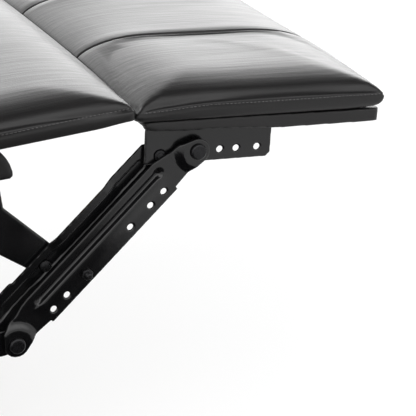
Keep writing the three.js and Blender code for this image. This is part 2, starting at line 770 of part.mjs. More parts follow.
// Pieces that cross from side to side.
const shaftEnd = bracketFace + sheet + gap;
add(
  object,
  "pivot_shaft",
  turned(pivot.frontFixed, [
    [0, -shaftEnd - flatHeadHeight],
    [shaftRadius + shaftHead, -shaftEnd - flatHeadHeight],
    [shaftRadius + shaftHead, -shaftEnd],
    [shaftRadius, -shaftEnd],
    [shaftRadius, shaftEnd],
    [shaftRadius + shaftHead, shaftEnd],
    [shaftRadius + shaftHead, shaftEnd + flatHeadHeight],
    [0, shaftEnd + flatHeadHeight],
  ]),
  finish.rivetSteel,
);
const driveTubeHalf = sidePlateFace + sheet + driveTubeReach;
add(
  object,
  "drive_tube",
  turned(
    pivot.drive,
    [
      [driveTubeRadius, -driveTubeHalf],
      [driveTubeRadius, driveTubeHalf],
      [driveTubeRadius - driveTubeWall, driveTubeHalf],
      [driveTubeRadius - driveTubeWall, -driveTubeHalf],
      [driveTubeRadius, -driveTubeHalf],
    ],
    24,
  ),
  finish.frameSteel,
);
const crossHalf = railFace - tubeSize - gap;
for (const [name, front] of [
  ["front_cross_tube", frontPostFront],
  ["rear_cross_tube", rearPostBack + tubeSize],
])
  add(
    object,
    name,
    squareTube(
      new THREE.Vector3(front - tubeSize, -crossHalf, floorRailTop - tubeSize),
      new THREE.Vector3(front, crossHalf, floorRailTop),
      "y",
    ),
    finish.frameSteel,
  );

// Set on the floor, its origin under the middle of its box.
const box = new THREE.Box3().setFromObject(object, true);
const middle = box.getCenter(new THREE.Vector3());
object.position.set(-middle.x, -middle.y, -box.min.z);

export default object;
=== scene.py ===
"""Recliner seat with a fold-out leg rest: leather cushions, wrapped boards and a gloss black linkage."""

import json
import math

import bmesh
import bpy
import numpy as np
from mathutils import Matrix, Vector
from mathutils.bvhtree import BVHTree


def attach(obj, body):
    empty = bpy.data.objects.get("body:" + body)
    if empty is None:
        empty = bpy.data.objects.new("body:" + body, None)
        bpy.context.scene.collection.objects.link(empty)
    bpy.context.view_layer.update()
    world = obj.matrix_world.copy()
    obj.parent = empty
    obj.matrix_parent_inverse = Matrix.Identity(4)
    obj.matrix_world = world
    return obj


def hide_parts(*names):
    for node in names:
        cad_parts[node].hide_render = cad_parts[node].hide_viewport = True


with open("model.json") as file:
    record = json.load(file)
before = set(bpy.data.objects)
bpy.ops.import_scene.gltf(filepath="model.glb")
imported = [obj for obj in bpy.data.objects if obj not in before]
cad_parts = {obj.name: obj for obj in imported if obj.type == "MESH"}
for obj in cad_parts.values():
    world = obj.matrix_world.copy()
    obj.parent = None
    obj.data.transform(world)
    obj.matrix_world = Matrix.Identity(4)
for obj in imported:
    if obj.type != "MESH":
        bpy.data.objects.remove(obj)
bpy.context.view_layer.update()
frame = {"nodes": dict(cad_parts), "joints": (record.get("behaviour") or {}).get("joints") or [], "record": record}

MM = 0.001
RIGHT, LEFT = -1.0, 1.0  # sign of Y on either side
SIDES = (("right", RIGHT), ("left", LEFT))

# ---------- sizes shared by the pieces ----------
LEG_TILT = math.radians(3.95)  # leg rest, nose down
SEAT_TILT = math.radians(3.8)  # seat, nose up
LINK_ANGLE = math.radians(42.1)  # outer link above level
LINK_LENGTH = 259.5 * MM  # between pivots
MIDDLE_RIVET = 104.4 * MM  # along the inner link
WAVE_REPEATS = 3.2  # bands of a wave pattern to one unit of its scale

place = {j["name"]: Vector(j["pos_m"]) for j in frame["joints"]}
leg_pivot = place["leg_rest_pivot"]
lower_pivot = place["outer_link_pivot"]
inner_pivot = place["inner_link_pivot"]


def tilted(origin, angle):
    """Frame of a tilted group: its origin, turned about Y."""
    return Matrix.Translation(origin) @ Matrix.Rotation(angle, 4, "Y")


LEG = tilted(leg_pivot, LEG_TILT)
SEAT = tilted(leg_pivot, -SEAT_TILT)


def box_in(node, matrix):
    """Lowest and highest corner of a CAD node in a tilted frame."""
    inverse = matrix.inverted()
    points = np.array([inverse @ v.co for v in frame["nodes"][node].data.vertices])
    return Vector(points.min(0)), Vector(points.max(0))


# ---------- shading helpers ----------
def colour(code):
    """An sRGB hex colour as linear RGBA."""
    parts = [int(code[i : i + 2], 16) / 255 for i in (0, 2, 4)]
    linear = [c / 12.92 if c <= 0.04045 else ((c + 0.055) / 1.055) ** 2.4 for c in parts]
    return (*linear, 1)


def add_node(tree, kind, values=None, links=None, **settings):
    """Adds a node, sets its properties and input values, and links outputs into its inputs."""
    made = tree.nodes.new(kind)
    for key, value in settings.items():
        setattr(made, key, value)
    for key, value in (values or {}).items():
        made.inputs[key].default_value = value
    for key, socket in (links or {}).items():
        tree.links.new(socket, made.inputs[key])
    return made


def new_material(name):
    material = bpy.data.materials.new(name)
    material.use_nodes = True
    material.node_tree.nodes.clear()
    return material, material.node_tree


def close_material(tree, shader):
    add_node(tree, "ShaderNodeOutputMaterial", links={"Surface": shader.outputs[0]})


def blend_colours(tree, factor, low, high):
    ramp = add_node(tree, "ShaderNodeValToRGB", links={0: factor})
    ramp.color_ramp.elements[0].color = colour(low)
    ramp.color_ramp.elements[1].color = colour(high)
    return ramp.outputs[0]


def stretched(tree, source, scale):
    """Coordinates in metres times a number of repeats a metre along each axis."""
    return add_node(tree, "ShaderNodeMapping", {"Scale": scale}, {0: source}).outputs[0]


# ---------- materials ----------
def bonded_leather():
    """Black bonded leather, embossed and then rolled: a soft grey sheen at low angles, broken by
    fine streaks along the stretch of the cover and by a pebbled grain."""
    material, tree = new_material("bonded_leather")
    where = add_node(tree, "ShaderNodeTexCoord").outputs["Object"]
    # Stretch lines lie 4 mm apart and run 90 mm along the cushion.
    lines = stretched(tree, where, (1 / 0.09, 1 / 0.004, 1 / 0.012))
    streaks = add_node(tree, "ShaderNodeTexNoise", {"Scale": 1.0, "Detail": 3.0}, {"Vector": lines})
    # The real grain is 0.6 mm across; 1.6 mm is the finest that shows.
    grain = add_node(tree, "ShaderNodeTexVoronoi", {"Scale": 1 / 0.0016}, {"Vector": where})
    cloudy = add_node(tree, "ShaderNodeTexNoise", {"Scale": 1 / 0.11, "Detail": 2.0}, {"Vector": where})
    base = blend_colours(tree, cloudy.outputs[0], "111011", "191818")
    rough = add_node(
        tree, "ShaderNodeMapRange", {"To Min": 0.34, "To Max": 0.5}, {"Value": streaks.outputs[0]}
    )
    ridges = add_node(
        tree, "ShaderNodeBump", {"Strength": 0.35, "Distance": 0.0006}, {"Height": streaks.outputs[0]}
    )
    pebbles = add_node(
        tree,
        "ShaderNodeBump",
        {"Strength": 0.18, "Distance": 0.0003},
        {"Height": grain.outputs["Distance"], "Normal": ridges.outputs[0]},
    )
    shader = add_node(
        tree,
        "ShaderNodeBsdfPrincipled",
        {"IOR": 1.41},
        {"Base Color": base, "Roughness": rough.outputs[0], "Normal": pebbles.outputs[0]},
    )
    close_material(tree, shader)
    return material


def gloss_paint():
    """Stamped steel dipped in black gloss paint: near black, with sharp reflections that waver
    over the slight orange peel of the dried coat."""
    material, tree = new_material("gloss_black_paint")
    where = add_node(tree, "ShaderNodeTexCoord").outputs["Object"]
    # Orange peel, 5 mm from crest to crest.
    peel = add_node(tree, "ShaderNodeTexNoise", {"Scale": 1 / 0.005, "Detail": 1.0}, {"Vector": where})
    # Handling scuffs, 30 mm patches that dull the gloss a little.
    scuffs = add_node(tree, "ShaderNodeTexNoise", {"Scale": 1 / 0.03, "Detail": 4.0}, {"Vector": where})
    base = blend_colours(tree, scuffs.outputs[0], "060607", "0c0c0d")
    rough = add_node(
        tree, "ShaderNodeMapRange", {"To Min": 0.12, "To Max": 0.26}, {"Value": scuffs.outputs[0]}
    )
    waves = add_node(
        tree, "ShaderNodeBump", {"Strength": 0.12, "Distance": 0.0003}, {"Height": peel.outputs[0]}
    )
    shader = add_node(
        tree,
        "ShaderNodeBsdfPrincipled",
        {"IOR": 1.48},
        {"Base Color": base, "Roughness": rough.outputs[0], "Normal": waves.outputs[0]},
    )
    close_material(tree, shader)
    return material


def black_zinc():
    """Upset rivets and bolts in black zinc: dark metal with turned rings and small glints."""
    material, tree = new_material("black_zinc")
    where = add_node(tree, "ShaderNodeTexCoord").outputs["Object"]
    # Tool marks are 0.8 mm apart; 2.5 mm is the finest that shows.
    marks = add_node(tree, "ShaderNodeTexNoise", {"Scale": 1 / 0.0025, "Detail": 2.0}, {"Vector": where})
    base = blend_colours(tree, marks.outputs[0], "141415", "29292b")
    rough = add_node(
        tree, "ShaderNodeMapRange", {"To Min": 0.2, "To Max": 0.36}, {"Value": marks.outputs[0]}
    )
    dents = add_node(
        tree, "ShaderNodeBump", {"Strength": 0.2, "Distance": 0.0002}, {"Height": marks.outputs[0]}
    )
    shader = add_node(
        tree,
        "ShaderNodeBsdfPrincipled",
        {"Metallic": 0.7},
        {"Base Color": base, "Roughness": rough.outputs[0], "Normal": dents.outputs[0]},
    )
    close_material(tree, shader)
    return material


def satin_powder_coat():
    """Welded tube in satin black powder coat: a fine, even texture with a wide, dull highlight."""
    material, tree = new_material("satin_powder_coat")
    where = add_node(tree, "ShaderNodeTexCoord").outputs["Object"]
    # Powder texture is 0.4 mm; 1.5 mm is the finest that shows.
    powder = add_node(tree, "ShaderNodeTexNoise", {"Scale": 1 / 0.0015, "Detail": 2.0}, {"Vector": where})
    patches = add_node(tree, "ShaderNodeTexNoise", {"Scale": 1 / 0.06, "Detail": 3.0}, {"Vector": where})
    base = blend_colours(tree, patches.outputs[0], "121213", "1b1b1d")
    rough = add_node(
        tree, "ShaderNodeMapRange", {"To Min": 0.4, "To Max": 0.55}, {"Value": patches.outputs[0]}
    )
    pits = add_node(
        tree, "ShaderNodeBump", {"Strength": 0.25, "Distance": 0.0002}, {"Height": powder.outputs[0]}
    )
    shader = add_node(
        tree,
        "ShaderNodeBsdfPrincipled",
        {"IOR": 1.5},
        {"Base Color": base, "Roughness": rough.outputs[0], "Normal": pits.outputs[0]},
    )
    close_material(tree, shader)
    return material


def birch_plywood():
    """Rotary-cut birch plywood: pale wavy grain across the face and dark glue lines on the edge."""
    material, tree = new_material("birch_plywood")
    where = add_node(tree, "ShaderNodeTexCoord").outputs["Object"]
    # Growth bands 14 mm apart, drawn out along Y.
    bands = add_node(
        tree,
        "ShaderNodeTexNoise",
        {"Scale": 1.0, "Detail": 4.0, "Distortion": 0.6},
        {"Vector": stretched(tree, where, (1 / 0.014, 1 / 0.25, 1 / 0.014))},
    )
    # Veneers are 1.5 mm thick.
    plies = add_node(
        tree,
        "ShaderNodeTexWave",
        {"Scale": 1 / 0.003 / WAVE_REPEATS, "Distortion": 0.3},
        {"Vector": where},
        bands_direction="Z",
    )
    face = blend_colours(tree, bands.outputs[0], "a67c4c", "d3b080")
    edge = blend_colours(tree, plies.outputs[0], "7d5a34", "c29b68")
    up = add_node(tree, "ShaderNodeNewGeometry").outputs["Normal"]
    height = add_node(tree, "ShaderNodeSeparateXYZ", links={0: up}).outputs["Z"]
    flat = add_node(tree, "ShaderNodeMath", links={0: height}, operation="ABSOLUTE").outputs[0]
    mix = add_node(tree, "ShaderNodeMix", links={0: flat, 6: edge, 7: face}, data_type="RGBA")
    fibres = add_node(
        tree, "ShaderNodeBump", {"Strength": 0.3, "Distance": 0.0003}, {"Height": bands.outputs[0]}
    )
    shader = add_node(
        tree,
        "ShaderNodeBsdfPrincipled",
        {"Roughness": 0.7},
        {"Base Color": mix.outputs[2], "Normal": fibres.outputs[0]},
    )
    close_material(tree, shader)
    return material


def moulded_nylon():
    """Injection-moulded black nylon: matt, with a spark-eroded texture."""
    material, tree = new_material("moulded_nylon")
    where = add_node(tree, "ShaderNodeTexCoord").outputs["Object"]
    # Spark texture, drawn at 1.2 mm so that it shows.
    sparks = add_node(tree, "ShaderNodeTexNoise", {"Scale": 1 / 0.0012, "Detail": 2.0}, {"Vector": where})
    base = blend_colours(tree, sparks.outputs[0], "1d1d1d", "292929")
    rough = add_node(
        tree, "ShaderNodeMapRange", {"To Min": 0.5, "To Max": 0.65}, {"Value": sparks.outputs[0]}
    )
    pits = add_node(
        tree, "ShaderNodeBump", {"Strength": 0.3, "Distance": 0.0002}, {"Height": sparks.outputs[0]}
    )
    shader = add_node(
        tree,
        "ShaderNodeBsdfPrincipled",
        {"IOR": 1.53},
        {"Base Color": base, "Roughness": rough.outputs[0], "Normal": pits.outputs[0]},
    )
    close_material(tree, shader)
    return material


def bonded_thread():
    """Bonded polyester sewing thread, 0.6 mm, charcoal, with its twist."""
    material, tree = new_material("bonded_thread")
    where = add_node(tree, "ShaderNodeTexCoord").outputs["Object"]
    # One turn of the twist every 1.2 mm.
    twist = add_node(
        tree,
        "ShaderNodeTexWave",
        {"Scale": 1 / 0.0012 / WAVE_REPEATS},
        {"Vector": where},
        bands_direction="DIAGONAL",
    )
    base = blend_colours(tree, twist.outputs[0], "2b2a2b", "4a4849")
    strands = add_node(
        tree, "ShaderNodeBump", {"Strength": 0.5, "Distance": 0.0002}, {"Height": twist.outputs[0]}
    )
    shader = add_node(
        tree,
        "ShaderNodeBsdfPrincipled",
        {"Roughness": 0.55, "Sheen Weight": 0.3},
        {"Base Color": base, "Normal": strands.outputs[0]},
    )
    close_material(tree, shader)
    return material


LEATHER = bonded_leather()
PAINT = gloss_paint()
ZINC = black_zinc()
POWDER = satin_powder_coat()
PLYWOOD = birch_plywood()
NYLON = moulded_nylon()
THREAD = bonded_thread()


# ---------- mesh helpers ----------
def new_object(name, vertices, faces, material, smooth_angle=40):
    mesh = bpy.data.meshes.new(name)
    mesh.from_pydata([tuple(v) for v in vertices], [], faces)
    mesh.validate()
    made = bpy.data.objects.new(name, mesh)
    bpy.context.scene.collection.objects.link(made)
    return finish_mesh(made, material, smooth_angle)


def finish_mesh(made, material, smooth_angle=40):
    """Faces out, smooth within an angle, one material."""
    shape = bmesh.new()
    shape.from_mesh(made.data)
    bmesh.ops.recalc_face_normals(shape, faces=shape.faces)
    shape.to_mesh(made.data)
    shape.free()
    made.data.shade_smooth()
    made.data.set_sharp_from_angle(angle=math.radians(smooth_angle))
    made.data.materials.clear()
    made.data.materials.append(material)
    return made


def apply_all(made):
    """Applies an object's modifiers to its mesh."""
    graph = bpy.context.evaluated_depsgraph_get()
    result = bpy.data.meshes.new_from_object(made.evaluated_get(graph))
    made.modifiers.clear()
    made.data = result


def points_of(made):
    flat = np.empty(len(made.data.vertices) * 3)
    made.data.vertices.foreach_get("co", flat)
    return flat.reshape(-1, 3)


def set_points(made, points):
    made.data.vertices.foreach_set("co", np.asarray(points, float).ravel())
    made.data.update()


def smoothline(zero, one, value):
    """0 to 1 in a straight line between two values."""
    return np.clip((value - zero) / (one - zero), 0, 1)


def smoothstep(low, high, value):
    """0 to 1 between two values, eased at both."""
    t = smoothline(low, high, value)
    return t * t * (3 - 2 * t)


def within(start, full, falling, end, value):
    """1 inside a stretch, eased to 0 at both of its ends."""
    return smoothstep(start, full, value) * (1 - smoothstep(falling, end, value))


def belong(made, body, node=None):
    """Puts a piece on its body, and hides the CAD node that it replaces."""
    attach(made, body)
    if node:
        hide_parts(node)


def remeshed(name, source, voxel, smoothing):
    """A copy of a mesh object as an even skin, which rounds its edges off."""
    made = bpy.data.objects.new(name, source.data.copy())
    bpy.context.scene.collection.objects.link(made)
    made.data.materials.clear()
    skin = made.modifiers.new("skin", "REMESH")
    skin.mode = "VOXEL"
    skin.voxel_size = voxel
    even = made.modifiers.new("even", "SMOOTH")
    even.iterations = smoothing
    apply_all(made)
    return made


# ---------- cushions ----------
# Each edge of a cushion is a wall and then a roll: the wall's share of the rise, the wall's run,
# the roll's run, and the roll's power, which is 2 for a quarter of an ellipse.
LEG_SIDE = (0.3, 9 * MM, 66 * MM, 2.1)
SEAT_SIDE = (0.24, 9 * MM, 62 * MM, 2.0)
CREASE_END = (0.06, 4 * MM, 78 * MM, 1.9)
PLAIN_END = (0.12, 6 * MM, 80 * MM, 2.0)
SEAT_NOSE_END = (0.06, 4 * MM, 95 * MM, 2.0)
SEAM_RISES = (8.5, 6.0, 1.0)  # mm: height at the rear end, its gain behind the middle, its loss in front
CHANNEL_DIP, DIP_POWER = 0.07, 3.2  # of the rise, towards a seam between channels
EDGE_BLEND = 0.35  # how much two edges lower each other at a corner
CORNER = 4 * MM
PROUD = 1.6 * MM  # of the CAD outline all round
PRESSED_ON = 1.6 * MM  # further, at the crease, where the two cushions press on each other
PRESSED_REACH = 30 * MM
TUCK = 3.2 * MM  # of the lower edge, in from the seam
PINCH = 1.0 * MM  # of the seam itself
EDGE_REACH = (12 * MM, 3 * MM)  # from an edge, where a pull on it starts and is full
FRONT_LIFT = 1.5 * MM  # of the lower edge at the front corners
CROWN_RESERVE = 1 * MM  # left for the filling to blow up
SWELL_CAP = 4 * MM
SKIN_VOXEL = 4 * MM
FURROWS = ((2.2 * MM, 0.9 * MM), (1.3 * MM, 7 * MM))  # depth and width, at a seam and round it
STITCH_PITCH, STITCH_RADIUS = 4.2 * MM, 0.33 * MM
STITCH_OVER = 2.0 * MM  # the edge seam


class Cushion:
    """Sizes of one cushion in its own tilted frame."""

    def __init__(self, node, matrix, channels, side, rear, front, crease):
        low, high = box_in(node, matrix)
        self.node, self.matrix = node, matrix
        self.back, self.front = low.x, high.x
        self.bottom, self.top = low.z, high.z
        self.half = high.y
        self.side, self.rear, self.front_end = side, rear, front
        self.crease = crease  # -1 where the crease is at the rear end, 1 at the front end
        self.seams = [(i / channels * 2 - 1) * high.y for i in range(1, channels)]
        self.channel = 2 * high.y / channels

    def seam_height(self, x):
        """Height of the sewn edge over the underside: the side panel widens from the rear end."""
        t = smoothline(self.back, self.front, x)
        low, gain, loss = SEAM_RISES
        return (low + gain * smoothstep(-0.05, 0.32, t) - loss * smoothstep(0.8, 1, t)) * MM

    def channel_dip(self, y):
        """1 on a channel's crest, a little less towards the seams that join it to the next one."""
        dip = np.zeros_like(np.asarray(y, float))
        for seam in self.seams:
            dip += np.clip(1 - np.abs(y - seam) / (self.channel / 2), 0, 1) ** DIP_POWER
        return 1 - CHANNEL_DIP * dip

    def top_height(self, x, y, crown):
        seam = self.seam_height(x)
        rise = wall_and_roll(self.half - np.abs(y), self.side)
        rise = lower_of(rise, wall_and_roll(x - self.back, self.rear))
        rise = lower_of(rise, wall_and_roll(self.front - x, self.front_end))
        return seam + (crown - seam) * rise * self.channel_dip(y)


def lower_of(a, b):
    """The lower of two shares, softened where they are near each other."""
    return np.minimum(a, b) * np.maximum(a, b) ** EDGE_BLEND


def wall_and_roll(distance, end):
    """Share of the full rise at a distance from the edge."""
    wall, wall_run, roll_run, power = end

    def quarter(run, shape):
        return (1 - (1 - np.clip(distance / run, 0, 1)) ** shape) ** (1 / shape)

    return wall * quarter(wall_run, 2.0) + (1 - wall) * quarter(roll_run, power)


def rounded_corner(x, y, cushion):
    """Moves a point of the rectangular plan in, where the plan's corners are rounded."""
    mid = (cushion.back + cushion.front) / 2
    reach_x = (cushion.front - cushion.back) / 2 - CORNER
    reach_y = cushion.half - CORNER
    over_x, over_y = abs(x - mid) - reach_x, abs(y) - reach_y
    if over_x <= 0 or over_y <= 0:
        return x, y
    shrink = max(over_x, over_y) / math.hypot(over_x, over_y)
    out_x, out_y = reach_x + over_x * shrink, reach_y + over_y * shrink
    return mid + math.copysign(out_x, x - mid), math.copysign(out_y, y)


def eased(count):
    """Stations from 0 to 1, closer together near either end."""
    t = np.linspace(0, 1, count + 1)
    return t - 0.15 * np.sin(2 * np.pi * t)


def cushion_form(name, cushion, crown):
    """The cushion as cut and sewn, before it is stuffed: closed, in its own frame."""
    length, width = cushion.front - cushion.back, 2 * cushion.half
    xs = cushion.back + eased(60) * length
    ys = -cushion.half + eased(90) * width
    grow_x, grow_y = 1 + 2 * PROUD / length, 1 + 2 * PROUD / width
    mid = (cushion.back + cushion.front) / 2
    vertices, faces = [], []
    crease_at = cushion.back if cushion.crease < 0 else cushion.front
    for top in (True, False):
        for x in xs:
            for y in ys:
                px, py = rounded_corner(x, y, cushion)
                z = float(cushion.top_height(x, y, crown)) if top else 0.0
                on = 1 - smoothstep(0, PRESSED_REACH, abs(x - crease_at))
                px += cushion.crease * PRESSED_ON * on
                vertices.append((mid + (px - mid) * grow_x, py * grow_y, cushion.bottom + z))
    rows = len(ys)
    step = len(xs) * rows

    def at(i, j, level):
        return level * step + i * rows + j

    for i in range(len(xs) - 1):
        for j in range(rows - 1):
            faces.append((at(i, j, 0), at(i + 1, j, 0), at(i + 1, j + 1, 0), at(i, j + 1, 0)))
            faces.append((at(i, j, 1), at(i, j + 1, 1), at(i + 1, j + 1, 1), at(i + 1, j, 1)))
    ring = [(i, 0) for i in range(len(xs))] + [(len(xs) - 1, j) for j in range(1, rows)]
    ring += [(i, rows - 1) for i in range(len(xs) - 2, -1, -1)] + [(0, j) for j in range(rows - 2, 0, -1)]
    for k, (i, j) in enumerate(ring):
        ni, nj = ring[(k + 1) % len(ring)]
        faces.append((at(i, j, 1), at(ni, nj, 1), at(ni, nj, 0), at(i, j, 0)))
    return new_object(name, vertices, faces, LEATHER)


def stuff(made, cushion):
    """Blows the cover up as a filling does: cloth under pressure, held at its underside and at the
    seams between channels, and no point moved further than a cap."""
    rest = points_of(made)
    held = made.vertex_groups.new(name="held")
    low = rest[:, 2] < cushion.bottom + cushion.seam_height(rest[:, 0]) + 1 * MM
    at_seam = np.zeros(len(rest), bool)
    for seam in cushion.seams:
        at_seam |= np.abs(rest[:, 1] - seam) < 4 * MM
    held.add([int(i) for i in np.nonzero(low | at_seam)[0]], 1.0, "REPLACE")
    cloth = made.modifiers.new("filling", "CLOTH")
    settings = cloth.settings
    settings.vertex_group_mass = "held"
    settings.quality = 4
    settings.mass = 0.3
    settings.tension_stiffness = settings.compression_stiffness = 25
    settings.shear_stiffness = 12
    settings.bending_stiffness = 6
    settings.use_pressure = True
    settings.uniform_pressure_force = 4
    settings.shrink_min = 0.012
    settings.effector_weights.gravity = 0
    frames = range(1, 21)
    cloth.point_cache.frame_start, cloth.point_cache.frame_end = frames[0], frames[-1]
    for number in frames:
        bpy.context.scene.frame_set(number)
    apply_all(made)
    moved = points_of(made) - rest
    length = np.linalg.norm(moved, axis=1, keepdims=True)
    set_points(made, rest + moved * np.minimum(1, SWELL_CAP / np.maximum(length, 1e-9)))
    bpy.context.scene.frame_set(1)
    made.vertex_groups.clear()


def subdivide(made):
    finer = made.modifiers.new("finer", "SUBSURF")
    finer.levels = finer.render_levels = 1
    apply_all(made)


def cut_lines(made, cushion):
    """Rows of points along every seam between channels, so that a seam is a crisp line."""
    shape = bmesh.new()
    shape.from_mesh(made.data)
    for seam in cushion.seams:
        for off in (-3, -1.1, 0, 1.1, 3):
            everything = shape.verts[:] + shape.edges[:] + shape.faces[:]
            place_at = (0, seam + off * MM, 0)
            bmesh.ops.bisect_plane(shape, geom=everything, dist=1e-6, plane_co=place_at, plane_no=(0, 1, 0))
    shape.to_mesh(made.data)
    shape.free()


def sew(made, cushion):
    """Presses in the seams between channels, tucks the lower edge in, and pulls in the seam."""
    points = points_of(made)
    x, y, z = points.T
    height = z - cushion.bottom
    seam_z = cushion.seam_height(x)
    over = height - seam_z
    upper = smoothstep(-2 * MM, 3 * MM, over)
    for seam in cushion.seams:
        away = np.abs(y - seam)
        for depth, width in FURROWS:
            z -= upper * depth * np.exp(-((away / width) ** 2))
    mid = (cushion.back + cushion.front) / 2
    reach = (cushion.front - cushion.back) / 2
    pull_from, pull_full = EDGE_REACH
    sides = smoothstep(cushion.half - pull_from, cushion.half - pull_full, np.abs(y))
    ends = smoothstep(reach - pull_from, reach - pull_full, np.abs(x - mid))
    below = np.clip(1 - height / seam_z, 0, 1) ** 1.6
    crease = np.exp(-((over / (1.1 * MM)) ** 2))
    pull = TUCK * below + PINCH * crease
    y -= np.sign(y) * sides * pull
    end = np.sign(x - mid)
    x -= end * ends * pull * (end != cushion.crease)
    front_corner = smoothstep(cushion.front - 40 * MM, cushion.front - 5 * MM, x)
    z += FRONT_LIFT * front_corner * np.maximum(sides, ends) * np.clip(1 - height / (2 * seam_z), 0, 1)
    set_points(made, points)


def stitches(name, surface, stations, body):
    """A row of stitches laid on a surface: each station is (point outside, direction in)."""
    tree = BVHTree.FromObject(surface, bpy.context.evaluated_depsgraph_get())
    hits = [tree.ray_cast(start, way) for start, way in stations]
    hits = [(point, normal) for point, normal, _, _ in hits if point is not None]
    vertices, faces = [], []
    ring = 6
    # Along the stitch, over the surface in mm, and fatness.
    profile = ((0.08, -0.3, 0.5), (0.25, 0.2, 1.0), (0.5, 0.35, 1.1), (0.75, 0.2, 1.0), (0.92, -0.3, 0.5))
    for (a, na), (b, nb) in zip(hits, hits[1:]):
        along = b - a
        if not 1 * MM < along.length < 8 * MM:
            continue
        normal = (na + nb).normalized()
        side = along.cross(normal).normalized()
        base = len(vertices)
        for t, lift, fat in profile:
            centre = a + along * t + normal * lift * MM
            for k in range(ring):
                angle = 2 * math.pi * k / ring
                spoke = side * math.cos(angle) + normal * math.sin(angle)
                vertices.append(centre + spoke * STITCH_RADIUS * fat)
        for section in range(len(profile) - 1):
            for k in range(ring):
                p, q = base + section * ring + k, base + section * ring + (k + 1) % ring
                faces.append((p, q, q + ring, p + ring))
        faces.append(tuple(range(base, base + ring)))
        faces.append(tuple(range(base + 4 * ring, base + 5 * ring)))
    belong(new_object(name, vertices, faces, THREAD, 60), body)


def edge_stitches(name, surface, cushion, body):
    """Top stitching on both sides and round the front, just over the edge seam."""
    out = 40 * MM
    turn = cushion.matrix.to_3x3()
    for side, sign in SIDES:
        stations = []
        for x in np.arange(cushion.back + 4 * MM, cushion.front - 4 * MM, STITCH_PITCH):
            z = cushion.bottom + float(cushion.seam_height(x)) + STITCH_OVER
            start = cushion.matrix @ Vector((x, sign * (cushion.half + out), z))
            stations.append((start, turn @ Vector((0, -sign, 0))))
        stitches(f"{name}_{side}", surface, stations, body)
    stations = []
    for y in np.arange(-cushion.half + 10 * MM, cushion.half - 10 * MM, STITCH_PITCH):
        z = cushion.bottom + float(cushion.seam_height(cushion.front)) + STITCH_OVER
        start = cushion.matrix @ Vector((cushion.front + out, y, z))
        stations.append((start, turn @ Vector((-1, 0, 0))))
    stitches(f"{name}_front", surface, stations, body)


def make_cushion(name, cushion, body):
    """Cut, remesh, stuff, sew and place one cushion."""
    form = cushion_form(name + "_form", cushion, cushion.top - cushion.bottom - CROWN_RESERVE)
    made = remeshed(name, form, SKIN_VOXEL, 1)
    bpy.data.objects.remove(form)
    stuff(made, cushion)
    subdivide(made)
    cut_lines(made, cushion)
    sew(made, cushion)
    made.data.transform(cushion.matrix)
    belong(finish_mesh(made, LEATHER, 60), body, cushion.node)
    return made


leg = Cushion("leg_cushion", LEG, 3, LEG_SIDE, CREASE_END, PLAIN_END, -1)
seat = Cushion("seat_cushion", SEAT, 1, SEAT_SIDE, PLAIN_END, SEAT_NOSE_END, 1)
leg_pad = make_cushion("leg_pad", leg, "leg_rest")
seat_pad = make_cushion("seat_pad", seat, "root")
edge_stitches("leg_stitching", leg_pad, leg, "leg_rest")
edge_stitches("seat_stitching", seat_pad, seat, "root")


# ---------- wrapped boards ----------
INNER_LIP = 2.0 * MM  # of leather below the board, outside the bracket
LIP_FADE = (35 * MM, 80 * MM)  # from the inner end, where the lip starts to fade and is gone
LIP_WIDTH = (12 * MM, 7 * MM)  # from the side, where the lip starts and is full
RIM_DROP = 1.0 * MM  # of the upper rim towards the front
RIM_START, RIM_FULL = 100 * MM, 30 * MM  # from the inner end, and from the front
RIM_WIDTH = (20 * MM, 8 * MM)  # from an edge, where the drop starts and is full
FRONT_SPREAD, SIDE_SPREAD = 2.4 * MM, 1.5 * MM  # of the leather over the board
SPREAD_REACH = 30 * MM


def wrapped(name, node, body, voxel, smoothing, shape=None):
    """A board or rail with leather drawn over it: soft edges, and a shape of its own if given."""
    made = remeshed(name, frame["nodes"][node], voxel, smoothing)
    if shape:
        set_points(made, shape(points_of(made)))
    belong(finish_mesh(made, LEATHER, 60), body, node)


def drawn_leather(points):
    """Leather pulled round the leg rest's board: it hangs in a lip outside the bracket at its inner
    end, and it is drawn down from the cushion towards the front."""
    inverse = np.array(LEG.inverted())
    turn = np.array(LEG)
    local = points @ inverse[:3, :3].T + inverse[:3, 3]
    low, high = local.min(0), local.max(0)
    x, z = local[:, 0], local[:, 2]
    aside = np.abs(local[:, 1])
    upper = smoothstep(low[2] + 5 * MM, high[2], z)
    inner = 1 - smoothstep(low[0] + LIP_FADE[0], low[0] + LIP_FADE[1], x)
    outside = smoothstep(high[1] - LIP_WIDTH[0], high[1] - LIP_WIDTH[1], aside)
    ahead = smoothstep(low[0] + RIM_START, high[0] - RIM_FULL, x)
    rim = smoothstep(high[1] - RIM_WIDTH[0], high[1] - RIM_WIDTH[1], aside)
    rim = np.maximum(rim, smoothstep(high[0] - RIM_WIDTH[0], high[0] - RIM_WIDTH[1], x))
    z -= INNER_LIP * (1 - upper) * inner * outside
    z -= RIM_DROP * upper * ahead * rim
    x += FRONT_SPREAD * smoothstep(high[0] - SPREAD_REACH, high[0], x)
    local[:, 1] += SIDE_SPREAD * np.sign(local[:, 1]) * smoothstep(high[1] - SPREAD_REACH, high[1], aside)
    return local @ turn[:3, :3].T + turn[:3, 3]


wrapped("leg_board_wrap", "leg_board", "leg_rest", 1.8 * MM, 5, drawn_leather)
wrapped("front_rail_wrap", "front_rail", "root", 2.5 * MM, 5)


